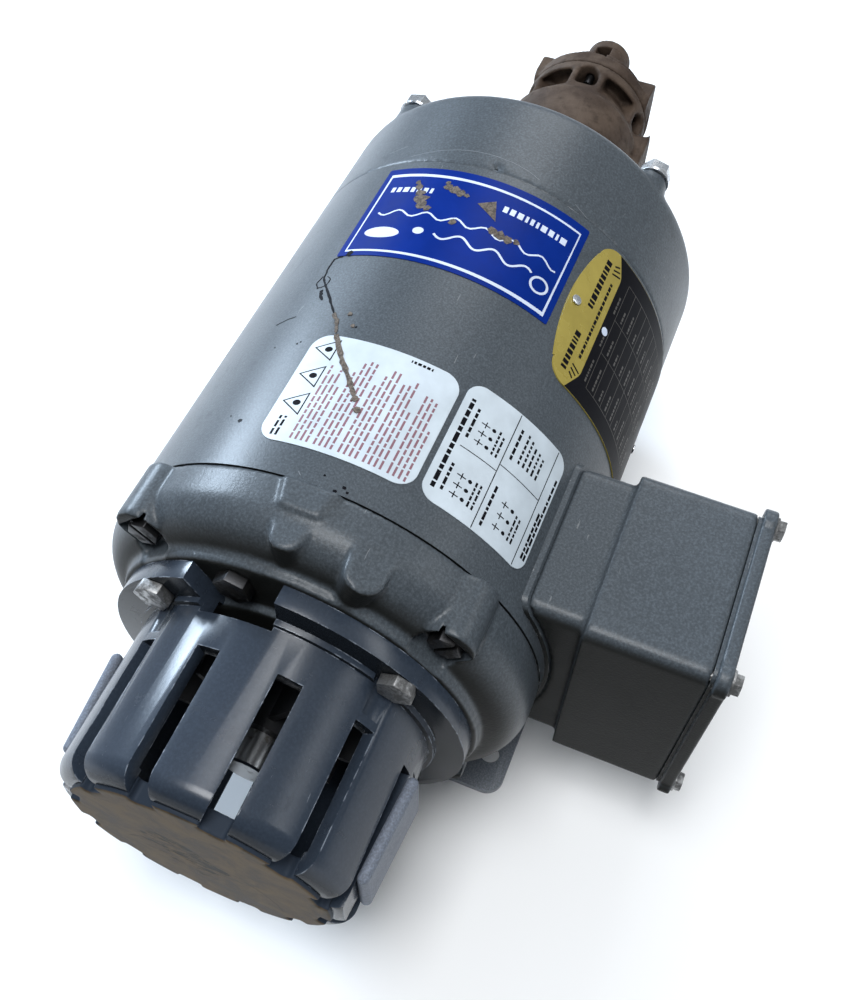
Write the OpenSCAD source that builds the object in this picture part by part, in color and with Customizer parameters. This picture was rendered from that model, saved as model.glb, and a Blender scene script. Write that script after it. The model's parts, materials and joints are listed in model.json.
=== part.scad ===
// Face-mounted electric motor with a slotted strainer cage on its front face and a gear pump on its rear face.
// X runs along the motor shaft, from the cage to the pump. Z is up.
// The origin is the centre of the foot bolt pattern, on the plane that the foot stands on.

/* [Motor] */
// Height of the shaft above the floor
axis_h = 114.3; // [112:0.1:118]
// Outer radius of the steel motor shell
shell_r = 100; // [99:0.5:101]
// Wall of the motor shell
shell_wall = 3.5; // [3:0.1:4]
// Front end of the shell, where it meets the front bell
seam_x = -74.6; // [-76:0.1:-73]
// Rear end of the shell, where it meets the rear bell
rear_seam_x = 115.3; // [114:0.1:117]
// Rim of the rear bell
rim_x = 165.5; // [164:0.1:167]
// Face of the rear bell
rear_face_x = 175.5; // [175:0.1:177]
// Machined mounting face of the front bell
face_x = -109; // [-110:0.1:-108.5]
// Radius of the locating spigot on the mounting face
spigot_r = 57.1; // [56:0.1:57.2]
// Radius of the bolt circle on the mounting face
face_bolt_r = 74.6; // [74:0.1:75]
// Radius of the circle of the four long through bolts
through_bolt_r = 92; // [91.5:0.1:92.2]

/* [Strainer cage] */
// Outer face of the closed end of the cage
cage_end_x = -194; // [-198:0.5:-190]
// Outer radius of the cage wall
cage_r = 66.5; // [65:0.5:67]
// Thickness of the cage wall
cage_wall = 7; // [6:0.5:7.2]
// Radius of the rounded end corner
cage_corner = 9; // [8:0.5:9]
// Radius of the mounting flange
flange_r = 81.8; // [81:0.1:84]
// Thickness of the mounting flange
flange_t = 8.3; // [7:0.1:10]
// Number of slots
slot_count = 12; // [12:1:12]
// Width of a slot
slot_w = 10.5; // [7:0.5:11]
// Motor-side end of the slots
slot_top_x = -136; // [-140:0.5:-130]
// Radius that the slots cut the end plate back to
notch_r = 53; // [50:0.5:55]
// Thickness of the end plate
end_plate_t = 7; // [5:0.5:8]
// How far the end plate stands out past the ribs
end_plate_out = 1.8; // [0.4:0.1:2]

/* [Conduit box] */
// Front side of the box
box_x0 = -72.1; // [-74:0.1:-70]
// Rear side of the box
box_x1 = 12; // [10:0.1:14]
// Underside of the box, from the shaft height
box_z0 = -63; // [-65:0.5:-61]
// Top of the box, from the shaft height
box_z1 = 57; // [56:0.5:59]
// Where the neck of the box widens into its body
box_y_neck = -111.5; // [-113:0.5:-110]
// Open side of the box
box_y_open = -163; // [-165:0.5:-161]
// Wall of the box
box_wall = 4; // [3:0.5:5]
// Radius of the conduit entry
entry_r = 11.1; // [8:0.1:14]

/* [Foot] */
// Distance between the foot holes along the shaft
foot_pitch_x = 139.7; // [130:0.1:145]
// Distance between the foot holes across the shaft
foot_pitch_y = 165.1; // [160:0.1:170]
// Radius of a foot hole
foot_hole_r = 5.2; // [4:0.1:6]
// Length of the foot
foot_l = 180; // [176:1:184]
// Width of the foot
foot_w = 188; // [184:1:192]
// Thickness of the foot plate
foot_t = 4.5; // [4:0.5:6]

/* [Pump] */
// Radius of the bearing bracket's barrel
barrel_r = 41; // [38:0.5:42]
// Start of the taper at the end of the barrel
taper_x0 = 268; // [260:1:270]
// End of the taper, where the pump flange starts
pump_flange_x = 296; // [294:1:298]
// Radius of the pump flange
pump_r = 38; // [37:0.5:40]
// Distance between the two pump gears
gear_centres = 18; // [18:0.5:18]
// Teeth of each pump gear
gear_teeth = 12; // [12:1:12]
// Width of the pump gears
gear_w = 8; // [6:0.5:8]
// Radius of the pump ports
port_r = 8.5; // [7:0.1:9]

/* [Hidden] */
$fn = 64;
slip = 0.05;
hex_corner = 1 / cos(30);

// Motor inside
shell_in = shell_r - shell_wall;
rotor_r = 54.4;
stator_in = 55;
core_x0 = -40;
core_x1 = 70;
stator_slots = 24;
bearing_ro = 26;
bearing_ri = 12.5;
bearing_w = 15;
front_bearing_x = -99;
rear_bearing_x = 151;
ball_r = 3.95;
ball_pitch_r = 19.25;
ball_count = 9;
groove_r = 4.03;
front_shaft_r = 11.11;
rear_shaft_r = 8;
shaft_front_x = -157;
shaft_rear_x = 206;
impeller_x0 = -142;
impeller_x1 = -119;

// Front bell
bell_round = 18;
bell_face_x = -104;
pocket_x = -97.5;
bolt_angles = [45, 135, 225, 315];

// Foot
web_x = foot_l / 2 - 18;

// Conduit box
gasket_t = 2;

// Cage
flange_x = face_x - flange_t;
head_af = 14.3;
head_h = 5;
shield_screw_x = -168;
shield_screw_r = 2;
shield_lean = 4;
shield_l = 46;
shield_half_t = 2.6;
shield_r = 68.2;
shield_left_x = -136;
shield_right_x = -137.5;

// Pump
pump_shaft_r = 6;
bracket_x1 = 299;
housing_x1 = 308;
chamber_x1 = bracket_x1 + gear_w + 0.1;
cover_x1 = 317;
housing_r = 33;
pump_bolt_r = 29;
pump_bolt_count = 5;
chamber_r = 10.3;
port_z = -5;
taper_l = pump_flange_x - taper_x0;
port_x = 310;
port_block_x1 = 321;
port_depth = 12;
port_block_y = 36;
notch_half_w = 6.3;
relief_angle = -6;
relief_r = 18;
relief_bore_r = 5;
relief_seam_x = 326;
relief_cap_r = 13.5;
hub_wall = 3.4;
hub_l = 8;

// ---- helpers ----

// Children are drawn with Z along the motor shaft and X pointing down.
module on_axis() translate([0, 0, axis_h]) rotate([0, 90, 0]) children();

// Turns children so that their X points outwards at an angle: 0 is up, 90 is towards +Y.
module at_angle(a) rotate([0, 0, 180 - a]) children();

module rod(x0, x1, r) translate([0, 0, x0]) cylinder(h = x1 - x0, r = r);

module ring(x0, x1, r_out, r_in) difference() {
    rod(x0, x1, r_out);
    rod(x0 - 1, x1 + 1, r_in);
}

module hex_rod(x0, x1, af) translate([0, 0, x0]) cylinder(h = x1 - x0, r = af / 2 * hex_corner, $fn = 6);

// A flat shape drawn as (distance towards the cage, sideways), raised outwards between two radii.
module radial_pad(r0, r1) translate([r0, 0, 0]) rotate([0, 90, 0]) linear_extrude(r1 - r0) children();

// A rectangle with round corners, between two opposite corners.
module rounded_rect(x0, y0, x1, y1, r) {
    translate([x0 + r, y0]) square([x1 - x0 - 2 * r, y1 - y0]);
    translate([x0, y0 + r]) square([x1 - x0, y1 - y0 - 2 * r]);
    for (x = [x0 + r, x1 - r], y = [y0 + r, y1 - r]) translate([x, y]) circle(r);
}

// A shape drawn as (x, height above the shaft), raised from y_start towards -Y.
module sideways(y_start, depth) translate([0, y_start, axis_h]) rotate([90, 0, 0]) linear_extrude(depth) children();

module sector(x0, x1, r0, r1, a0, a1) rotate([0, 0, 180 - a1]) rotate_extrude(angle = a1 - a0)
    translate([r0, x0]) square([r1 - r0, x1 - x0]);

module all_slots(r0) for (k = [0 : slot_count - 1]) at_angle((k + 0.5) * 360 / slot_count)
    translate([r0, -slot_w / 2, cage_end_x - 5]) cube([30, slot_w, slot_top_x - cage_end_x + 5]);

module slotted_hex_head(x0, x1, af, slot_depth) difference() {
    hex_rod(x0, x1, af);
    translate([-af, -0.8, x0 - 1]) cube([2 * af, 1.6, 1 + slot_depth]);
}

// ---- strainer cage ----

module cage_section() {
    translate([cage_r - cage_wall, cage_end_x + cage_corner])
        square([cage_wall, face_x - cage_end_x - cage_corner]);
    intersection() {
        translate([cage_r - cage_corner, cage_end_x + cage_corner]) circle(cage_corner);
        translate([cage_r - cage_corner, cage_end_x]) square([cage_corner, cage_corner + 0.01]);
    }
    translate([cage_r - cage_wall, flange_x]) square([flange_r - cage_r + cage_wall, flange_t]);
    translate([cage_r - cage_wall, flange_x - 2.5]) square([cage_wall + 2.5, 3]);
    translate([spigot_r + slip, face_x - 3.5]) square([cage_r - cage_wall - spigot_r, 3.5]);
}

module strainer_cage() color("slategray") on_axis() difference() {
    rotate_extrude() cage_section();
    all_slots(notch_r);
    // Window over the plug bolt, through the flange and the wall
    sector(flange_x - 4.5, face_x + 1, spigot_r - 2, flange_r + 2, -2, 27);
    for (a = bolt_angles) at_angle(a) {
        translate([face_bolt_r, 0, 0]) rod(flange_x - 1, face_x + 1, 4.95);
        translate([face_bolt_r, 0, 0]) rod(flange_x - 15, flange_x, 9.5);
    }
    for (side = [90, -90]) at_angle(side) translate([cage_r - cage_wall - 1, 0, shield_screw_x])
        rotate([0, 90, 0]) cylinder(h = cage_wall + 2, r = shield_screw_r);
    // Flat seats for the side shields
    for (side = [1, -1]) at_shield(side) translate([-shield_half_t - 0.1, -16.5, -shield_l - 14])
        cube([20, 33, shield_l + 18]);
}

module cage_end_plate() color([0.41, 0.36, 0.30]) on_axis() difference() {
    rod(cage_end_x - end_plate_out, cage_end_x + end_plate_t, cage_r - cage_corner);
    all_slots(notch_r);
}

// Children are drawn at the motor-side end of a side shield, with Z along the plate and X pointing outwards.
module at_shield(side) at_angle(side * 90) translate([shield_r, 0, side > 0 ? shield_left_x : shield_right_x])
    rotate([0, shield_lean, 0]) children();

// A thick plate on a flat seat of the cage. It leans outwards towards the motor.
module side_shield(side) color([0.58, 0.61, 0.66]) on_axis() difference() {
    at_shield(side) hull() for (y = [-15.8, 15.8], z = [-shield_l + shield_half_t, -shield_half_t])
        translate([0, y, z]) sphere(shield_half_t, $fn = 20);
    at_angle(side * 90) translate([cage_r - cage_wall, 0, shield_screw_x])
        rotate([0, 90, 0]) cylinder(h = 6.2, r = shield_screw_r);
}

module side_shield_left() side_shield(1);

module side_shield_right() side_shield(-1);

module shield_screws() color("silver") on_axis() for (side = [90, -90]) at_angle(side)
    translate([cage_r - cage_wall, 0, shield_screw_x]) rotate([0, 90, 0]) {
        translate([0, 0, -1]) cylinder(h = 7, r = shield_screw_r);
        translate([0, 0, -3.2]) cylinder(h = 3, r = 4);
    }

module cage_bolts() color([0.55, 0.54, 0.52]) on_axis() for (a = bolt_angles) at_angle(a)
    translate([face_bolt_r, 0, 0]) {
        rod(flange_x - 1, face_x + 12, 4.75);
        rotate([0, 0, 15]) hex_rod(flange_x - head_h, flange_x, head_af);
    }

module face_plug_bolt() color([0.35, 0.35, 0.36]) on_axis() at_angle(15) translate([72, 0, 0]) {
    rod(face_x, face_x + 12, 4.75);
    hex_rod(face_x - head_h, face_x, head_af);
}

// ---- motor ----

module front_bell_section() difference() {
    union() {
        translate([bearing_ro, bell_face_x + bell_round])
            square([shell_r - bearing_ro, seam_x - bell_face_x - bell_round]);
        translate([bearing_ro, bell_face_x]) square([shell_r - bell_round - bearing_ro, bell_round]);
        intersection() {
            translate([shell_r - bell_round, bell_face_x + bell_round]) circle(bell_round);
            translate([bearing_ro, bell_face_x]) square([shell_r, bell_round + 0.01]);
        }
        translate([18, face_x]) square([66, 6]);
        translate([18, face_x - 3.4]) square([spigot_r - 18, 3.5]);
        translate([18, bell_face_x]) square([20, 5]);
        translate([shell_in - 6, seam_x - 1]) square([6, 7]);
    }
    translate([34, -96]) square([59, 96 + seam_x + 0.01]);
    translate([0, front_bearing_x]) square([bearing_ro, 30]);
    translate([34, seam_x - 0.01]) square([shell_in - 6 - 34, 20]);
    translate([25, -84]) square([20, 20]);
}

module bell_tongue(angle, width, tip_x, top_r) at_angle(angle) radial_pad(80, top_r) {
    translate([-seam_x, -width / 2]) square([seam_x - tip_x - width / 2, width]);
    translate([-tip_x - width / 2, 0]) circle(width / 2);
}

module front_bell() color([0.33, 0.35, 0.36]) on_axis() difference() {
    union() {
        rotate_extrude() front_bell_section();
        bell_tongue(0, 14, -104, 99);
        bell_tongue(-19, 17, -107, 99.6);
        at_angle(0) radial_pad(90, 101.6) translate([-seam_x, 0])
            polygon([[0, -12], [13, -8.5], [13, 8.5], [0, 12]]);
        for (a = bolt_angles) at_angle(a) translate([through_bolt_r + 2, 0, 0]) rod(-102, seam_x, 11);
    }
    for (a = bolt_angles) at_angle(a) {
        translate([through_bolt_r, 0, 0]) rod(-120, seam_x + 10, 4.2);
        translate([through_bolt_r - 9.5, -9.5, -115]) cube([17, 19, 115 + pocket_x]);
        translate([face_bolt_r, 0, 0]) rod(face_x - 1, face_x + 12.5, 4.8);
    }
    at_angle(15) translate([72, 0, 0]) rod(face_x - 1, face_x + 12.5, 4.8);
}

module motor_shell() color([0.33, 0.35, 0.36]) difference() {
    on_axis() ring(seam_x, rear_seam_x, shell_r, shell_in);
    // Hole for the motor leads, under the conduit box
    translate([-32.5, -80, axis_h]) rotate([90, 0, 0]) cylinder(h = 40, r = 18);
}

module rear_bell_section() difference() {
    union() {
        translate([bearing_ro, rear_seam_x]) square([shell_r - bearing_ro, rim_x - rear_seam_x]);
        intersection() {
            translate([shell_r - 10, rim_x]) circle(10);
            translate([bearing_ro, rim_x - 0.01]) square([shell_r, 11]);
        }
        translate([16, rim_x - 0.01]) square([shell_r - 26, rear_face_x - rim_x + 0.01]);
        translate([shell_in - 6, rear_seam_x - 6]) square([6, 7]);
    }
    translate([34, rear_seam_x - 0.01]) square([59, rear_face_x - 8 - rear_seam_x]);
    translate([25, rear_seam_x - 10]) square([15, rear_bearing_x - rear_seam_x + 10]);
    translate([0, rear_seam_x]) square([bearing_ro, rear_bearing_x + bearing_w + 1 - rear_seam_x]);
}

module rear_bell() color([0.33, 0.35, 0.36]) on_axis() difference() {
    union() {
        rotate_extrude() rear_bell_section();
        for (a = bolt_angles) at_angle(a) translate([through_bolt_r - 2, 0, 0]) rod(rear_seam_x, 179, 9.8);
    }
    for (a = bolt_angles) at_angle(a) translate([through_bolt_r, 0, 0]) rod(rear_seam_x - 10, 190, 4.2);
    for (a = bolt_angles) at_angle(a + 45) translate([49.5, 0, 0]) rod(rear_face_x - 12, rear_face_x + 1, 3.1);
    // Small oil hole on top, just behind the seam
    at_angle(-1) translate([shell_r - 8, 0, rear_seam_x + 3]) rotate([0, 90, 0]) cylinder(h = 10, r = 1.6);
}

module through_bolts() color([0.42, 0.42, 0.42]) on_axis() for (a = bolt_angles) at_angle(a)
    translate([through_bolt_r, 0, 0]) {
        rod(pocket_x, 188.5, 3.95);
        slotted_hex_head(pocket_x - 5.5, pocket_x, 12.7, 1.6);
    }

module through_bolt_nuts() color([0.85, 0.86, 0.88]) on_axis() for (a = bolt_angles) at_angle(a)
    translate([through_bolt_r, 0, 0]) difference() {
        union() {
            rod(179, 180.8, 8.6);
            hex_rod(180.8, 187.5, head_af);
        }
        rod(178, 190, 3.95);
    }

module stator_slot_bars(r0, r1, width) for (k = [0 : stator_slots - 1]) rotate([0, 0, k * 360 / stator_slots])
    translate([r0, -width / 2, core_x0 - 1]) cube([r1 - r0, width, core_x1 - core_x0 + 2]);

module stator_core() color([0.45, 0.46, 0.48]) on_axis() difference() {
    ring(core_x0, core_x1, shell_in, stator_in);
    rotate([0, 0, 7.5]) stator_slot_bars(stator_in + 3, 76, 6);
    for (a = bolt_angles) at_angle(a) translate([through_bolt_r, 0, 0]) rod(core_x0 - 1, core_x1 + 1, 4.6);
}

module end_turns(x0, x1) rotate_extrude() rounded_rect(59, x0, 84, x1, 7);

module stator_windings() color([0.66, 0.35, 0.13]) on_axis() {
    end_turns(core_x0 - 24, core_x0);
    end_turns(core_x1, core_x1 + 24);
    intersection() {
        rotate([0, 0, 7.5]) stator_slot_bars(stator_in + 3.4, 75.6, 5.6);
        rod(core_x0, core_x1, 80);
    }
}

module race_groove(x0) translate([0, 0, x0 + bearing_w / 2]) rotate_extrude()
    translate([ball_pitch_r, 0]) circle(groove_r);

module outer_race(x0) color([0.72, 0.73, 0.75]) on_axis() difference() {
    ring(x0, x0 + bearing_w, bearing_ro, 21.2);
    race_groove(x0);
}

module inner_race(x0) color([0.72, 0.73, 0.75]) on_axis() difference() {
    ring(x0, x0 + bearing_w, 17.3, bearing_ri);
    race_groove(x0);
}

module front_bearing_outer_race() outer_race(front_bearing_x);

module rear_bearing_outer_race() outer_race(rear_bearing_x);

module front_bearing_inner_race() inner_race(front_bearing_x);

module rear_bearing_inner_race() inner_race(rear_bearing_x);

module at_balls() for (x0 = [front_bearing_x, rear_bearing_x], k = [0 : ball_count - 1])
    rotate([0, 0, k * 360 / ball_count]) translate([ball_pitch_r, 0, x0 + bearing_w / 2]) children();

module bearing_balls() color("silver") on_axis() at_balls() sphere(ball_r);

module ball_retainers() color([0.72, 0.60, 0.28]) on_axis() difference() {
    for (x0 = [front_bearing_x, rear_bearing_x]) ring(x0 + 2, x0 + bearing_w - 2, 20.2, 18.3);
    at_balls() rotate([0, 90, 0]) cylinder(h = 8, r = ball_r, center = true);
}

module wave_washer() color([0.60, 0.61, 0.62]) on_axis()
    ring(rear_bearing_x + bearing_w, rear_bearing_x + bearing_w + 0.9, 25.5, 20);

module front_shaft_seal() color([0.12, 0.12, 0.12]) on_axis() ring(-109, -101, 18, front_shaft_r + slip);

module motor_shaft() color([0.70, 0.71, 0.72]) on_axis() difference() {
    union() {
        rod(shaft_front_x + 1, front_bearing_x, front_shaft_r);
        translate([0, 0, shaft_front_x]) cylinder(h = 1, r1 = front_shaft_r - 1, r2 = front_shaft_r);
        rod(front_bearing_x, front_bearing_x + bearing_w, bearing_ri);
        rod(front_bearing_x + bearing_w, rear_bearing_x, 17);
        rod(rear_bearing_x, rear_bearing_x + bearing_w, bearing_ri);
        rod(rear_bearing_x + bearing_w, shaft_rear_x, rear_shaft_r);
    }
    // Keyway under the impeller
    translate([front_shaft_r - 2.4, -2.4, impeller_x0]) cube([6, 4.8, 20]);
}

module rotor_core() color([0.45, 0.46, 0.48]) on_axis() ring(core_x0, core_x1, rotor_r, 17);

module rotor_end_rings() color([0.75, 0.76, 0.78]) on_axis() for (x = [core_x0 - 12, core_x1]) {
    ring(x, x + 12, 51, 32);
    for (k = [0 : 7]) rotate([0, 0, k * 45])
        translate([36, -1.5, x < 0 ? x - 8 : x + 11]) cube([14, 3, 9]);
}

// Hub, back plate and backswept vanes
module impeller() color([0.12, 0.13, 0.14]) on_axis() difference() {
    union() {
        rod(impeller_x0, impeller_x1, 18);
        rod(impeller_x1 - 3.5, impeller_x1, 46);
        for (k = [0 : 5]) rotate([0, 0, k * 60]) intersection() {
            translate([13, 0, impeller_x0 + 4]) rotate([0, 0, 32]) cube([60, 3, impeller_x1 - impeller_x0 - 6]);
            rod(impeller_x0, impeller_x1, 45);
        }
    }
    rod(impeller_x0 - 1, impeller_x1 + 1, front_shaft_r);
    translate([0, -2.4, impeller_x0]) cube([front_shaft_r + 2.4, 4.8, 20]);
    translate([0, 0, impeller_x0 + 7]) rotate([0, 90, 0]) cylinder(h = 30, r = 2);
}

module impeller_key() color([0.62, 0.62, 0.60]) on_axis()
    translate([front_shaft_r - 2.4, -2.4, impeller_x0]) cube([4.8, 4.8, 20]);

module impeller_set_screw() color([0.30, 0.30, 0.31]) on_axis()
    translate([front_shaft_r + 2.4, 0, impeller_x0 + 7]) rotate([0, 90, 0]) cylinder(h = 4, r = 2);

module slinger() color([0.10, 0.10, 0.10]) on_axis() ring(-117, -114, 20, front_shaft_r);

// ---- foot ----

module foot_plate_outline() rounded_rect(-foot_l / 2, -foot_w / 2, foot_l / 2, foot_w / 2, 9);

module motor_base() color([0.33, 0.35, 0.36]) difference() {
    union() {
        difference() {
            linear_extrude(foot_t) foot_plate_outline();
            translate([-60, -52, -1]) cube([120, 104, 10]);
        }
        // Upright webs along both sides, up to the shell
        for (side = [1, -1]) translate([-web_x, side * 66 - 2.5, 0]) cube([2 * web_x, 5, 45]);
        // Saddle plates across the front and rear
        for (x = [-web_x, web_x - 5]) translate([x, -66, 0]) cube([5, 132, 45]);
    }
    on_axis() rod(-200, 200, shell_r);
    for (x = [-1, 1], y = [-1, 1]) translate([x * foot_pitch_x / 2, y * foot_pitch_y / 2, -1])
        cylinder(h = 20, r = foot_hole_r);
}

// ---- conduit box ----

module neck_outline(grow) rounded_rect(box_x0 + 4 - grow, box_z0 + 7 - grow, box_x1 - 4 + grow, box_z1 - 3 + grow, 6);

module box_outline(grow) rounded_rect(box_x0 - grow, box_z0 - grow, box_x1 + grow, box_z1 + grow, 6);

module lead_hole() translate([-32.5, -70, axis_h]) rotate([90, 0, 0]) cylinder(h = 50, r = 18);

module box_gasket() color([0.33, 0.35, 0.36]) difference() {
    intersection() {
        sideways(-40, 70) neck_outline(0.8);
        on_axis() rod(-120, 60, shell_r + gasket_t);
    }
    on_axis() rod(-130, 70, shell_r);
    lead_hole();
}

screw_xs = [box_x0 + 4.5, box_x1 - 4.5];
screw_zs = [box_z0 + 4.5, box_z1 - 4.5];

// Children are drawn at the middle of the conduit entry, on the underside of the box.
module at_entry() translate([-32.6, -138, axis_h + box_z0]) children();

// Flanged hub under the box, with the conduit entry through it
module conduit_hub() color([0.33, 0.35, 0.36]) at_entry() translate([0, 0, -hub_l]) difference() {
    union() {
        cylinder(h = hub_l, r = entry_r + hub_wall);
        translate([0, 0, hub_l - 2.5]) cylinder(h = 2.5, r = entry_r + hub_wall + 3);
    }
    translate([0, 0, -1]) cylinder(h = hub_l + 2, r = entry_r);
    translate([0, 0, hub_l - 0.5]) cylinder(h = 1, r = entry_r + 1);
}

module conduit_box() color([0.33, 0.35, 0.36]) difference() {
    union() {
        sideways(-50, -50 - box_y_neck + 1) neck_outline(0);
        sideways(box_y_neck, box_y_neck - box_y_open) box_outline(0);
    }
    on_axis() rod(-130, 70, shell_r + gasket_t);
    lead_hole();
    difference() {
        sideways(box_y_neck - box_wall, 60) box_outline(-box_wall);
        for (x = screw_xs, z = screw_zs) sideways(box_y_neck, 60) translate([x, z]) circle(6);
    }
    for (x = screw_xs, z = screw_zs) sideways(box_y_open + 14, 20) translate([x, z]) circle(2.1);
    // Hole over the conduit hub, in the underside
    at_entry() translate([0, 0, -1]) cylinder(h = box_wall + 2, r = entry_r + 1);
    translate([-55, box_y_neck - 1, axis_h - 30]) rotate([90, 0, 0]) cylinder(h = 8, r = 2);
}

module cover_gasket() color([0.14, 0.14, 0.14]) difference() {
    sideways(box_y_open, 1.5) box_outline(-0.5);
    sideways(box_y_open + 1, 4) difference() {
        box_outline(-box_wall);
        for (x = screw_xs, z = screw_zs) translate([x, z]) circle(6);
    }
    for (x = screw_xs, z = screw_zs) sideways(box_y_open + 5, 20) translate([x, z]) circle(2.1);
}

module conduit_box_cover() color([0.33, 0.35, 0.36]) difference() {
    sideways(box_y_open - 1.5, 6) {
        box_outline(1.5);
        for (x = screw_xs, z = screw_zs) translate([x, z]) circle(7.5);
    }
    for (x = screw_xs, z = screw_zs) sideways(box_y_open, 20) translate([x, z]) circle(2.1);
    sideways(box_y_open - 1, 3.5) box_outline(-box_wall - 8);
}

module cover_screws() color([0.85, 0.86, 0.88]) for (x = screw_xs, z = screw_zs) translate([x, 0, axis_h + z])
    rotate([90, 0, 0]) {
        translate([0, 0, -box_y_open - 12]) cylinder(h = 19.5, r = 2.1);
        difference() {
            union() {
                translate([0, 0, -box_y_open + 7.5]) cylinder(h = 1, r = 5.4);
                translate([0, 0, -box_y_open + 7.5]) cylinder(h = 4, r = 4.2 * hex_corner, $fn = 6);
            }
            translate([-8, -0.7, -box_y_open + 10]) cube([16, 1.4, 5]);
        }
    }

block_y = box_y_neck - box_wall;
stud_xs = [-48, -38, -28, -18];

module terminal_block() color([0.10, 0.10, 0.11]) difference() {
    sideways(block_y, 14) rounded_rect(-56, 22, -10, 42, 2);
    for (x = stud_xs) sideways(block_y + 1, 20) translate([x, 32]) circle(2);
}

module terminal_studs() color([0.78, 0.64, 0.30]) for (x = stud_xs) translate([x, block_y, axis_h + 32])
    rotate([90, 0, 0]) {
        cylinder(h = 24, r = 2);
        translate([0, 0, 14]) cylinder(h = 4, r = 3.5 * hex_corner, $fn = 6);
    }

module ground_screw() color([0.20, 0.55, 0.28]) translate([-55, block_y, axis_h - 30]) rotate([90, 0, 0]) {
    translate([0, 0, -3]) cylinder(h = 3, r = 2);
    cylinder(h = 3.5, r = 4.4 * hex_corner, $fn = 6);
}

// ---- labels ----

plate_x = 70.7;
plate_angle = -65.2;

// Wraps a flat outline, drawn about the label's middle as (distance towards the cage, sideways), on the shell.
module label_patch(x, a, t) on_axis() intersection() {
    ring(-120, 160, shell_r + t, shell_r);
    at_angle(a) translate([0, 0, x]) radial_pad(60, 110) children();
}

module blue_label() color([0.10, 0.20, 0.75]) label_patch(79, -1, 0.3) rounded_rect(-31, -50, 31, 50, 1);

module warning_label() color([0.90, 0.91, 0.93]) label_patch(-31, 0, 0.3) rounded_rect(-29, -33, 29, 33, 8);

module wiring_label() color([0.90, 0.91, 0.93]) label_patch(-29, -37, 0.3) rounded_rect(-30, -28, 30, 28, 7);

module nameplate() color([0.55, 0.47, 0.12]) difference() {
    label_patch(plate_x, plate_angle, 0.6) {
        rounded_rect(-42.3, -48.5, 42.3, 48.5, 9);
        intersection() {
            square([66, 200], center = true);
            intersection_for(side = [1, -1]) translate([0, side * (53.3 - 130)]) circle(130);
        }
    }
    rivet_places() cylinder(h = 12, r = 1.5);
}

module rivet_places() on_axis() for (side = [1, -1]) at_angle(plate_angle + side * 29.8)
    translate([shell_r - 2, 0, plate_x]) rotate([0, 90, 0]) children();

module nameplate_rivets() color([0.80, 0.80, 0.80]) rivet_places() {
    translate([0, 0, 2]) cylinder(h = 0.6, r = 1.5);
    translate([0, 0, 2.6]) cylinder(h = 1, r = 2.4);
}

// ---- pump ----

module bracket_section() difference() {
    union() {
        translate([0, rear_face_x]) square([57, 9]);
        translate([0, rear_face_x]) square([barrel_r, taper_x0 - rear_face_x]);
        translate([0, taper_x0])
            polygon([[0, 0], [barrel_r, 0], [27, taper_l - 2], [27, taper_l], [0, taper_l]]);
        translate([0, pump_flange_x]) square([pump_r, bracket_x1 - pump_flange_x]);
    }
    translate([0, rear_face_x - 1]) square([33, 82]);
    translate([0, 250]) square([14, 32]);
    translate([0, 270]) square([9, 60]);
}

module at_pump_bolts() for (k = [0 : pump_bolt_count - 1]) at_angle(k * 360 / pump_bolt_count)
    translate([pump_bolt_r, 0, 0]) children();

module pump_bracket() color([0.36, 0.30, 0.26]) on_axis() difference() {
    union() {
        rotate_extrude() bracket_section();
        // Ribs that carry the pump bolts, with pockets between them
        at_pump_bolts() translate([-11, -10, 278]) cube([18, 20, pump_flange_x - 277]);
        // Rim that closes the pockets at the outside
        ring(292, pump_flange_x + 1, pump_r, 35.5);
        at_angle(-90) translate([30, -11, 240]) cube([15, 22, 44]);
    }
    at_pump_bolts() {
        rod(275, bracket_x1 + 1, 2.6);
        // Notch in each rib, open to the outside, round towards the flange
        translate([-4.5, -notch_half_w, 281]) cube([20, 2 * notch_half_w, 8]);
        translate([-4.5, 0, 289]) rotate([0, 90, 0]) cylinder(h = 20, r = notch_half_w);
    }
    for (a = bolt_angles) at_angle(a + 45) translate([49.5, 0, 0]) rod(rear_face_x - 1, rear_face_x + 12, 3.4);
    // Side windows that reach the coupling screws
    for (a = [0, 180]) at_angle(a) translate([28, -12, 188]) cube([20, 24, 40]);
}

module bracket_bolts() color([0.42, 0.40, 0.38]) on_axis() for (a = bolt_angles) at_angle(a + 45)
    translate([49.5, 0, 0]) {
        rod(rear_face_x - 12, rear_face_x + 9, 3.1);
        hex_rod(rear_face_x + 9, rear_face_x + 14, 11);
    }

module bracket_bushing() color([0.72, 0.53, 0.25]) on_axis() ring(283, bracket_x1, 9, pump_shaft_r + slip);

module pump_shaft_seal() color([0.10, 0.10, 0.10]) on_axis() ring(260, 270, 14, pump_shaft_r + slip);

// A bore towards +Y or -Y, between two distances from the shaft
module port_bore(side, r, y0, y1) translate([-port_z, side * y0, port_x]) rotate([side * -90, 0, 0])
    cylinder(h = y1 - y0, r = r);

// Square block that carries a port
module port_block(side) translate([0, side > 0 ? port_block_y : -10, 0]) rotate([90, 0, 0])
    linear_extrude(port_block_y - 10) rounded_rect(-20, bracket_x1, 16, port_block_x1, 5);

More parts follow.
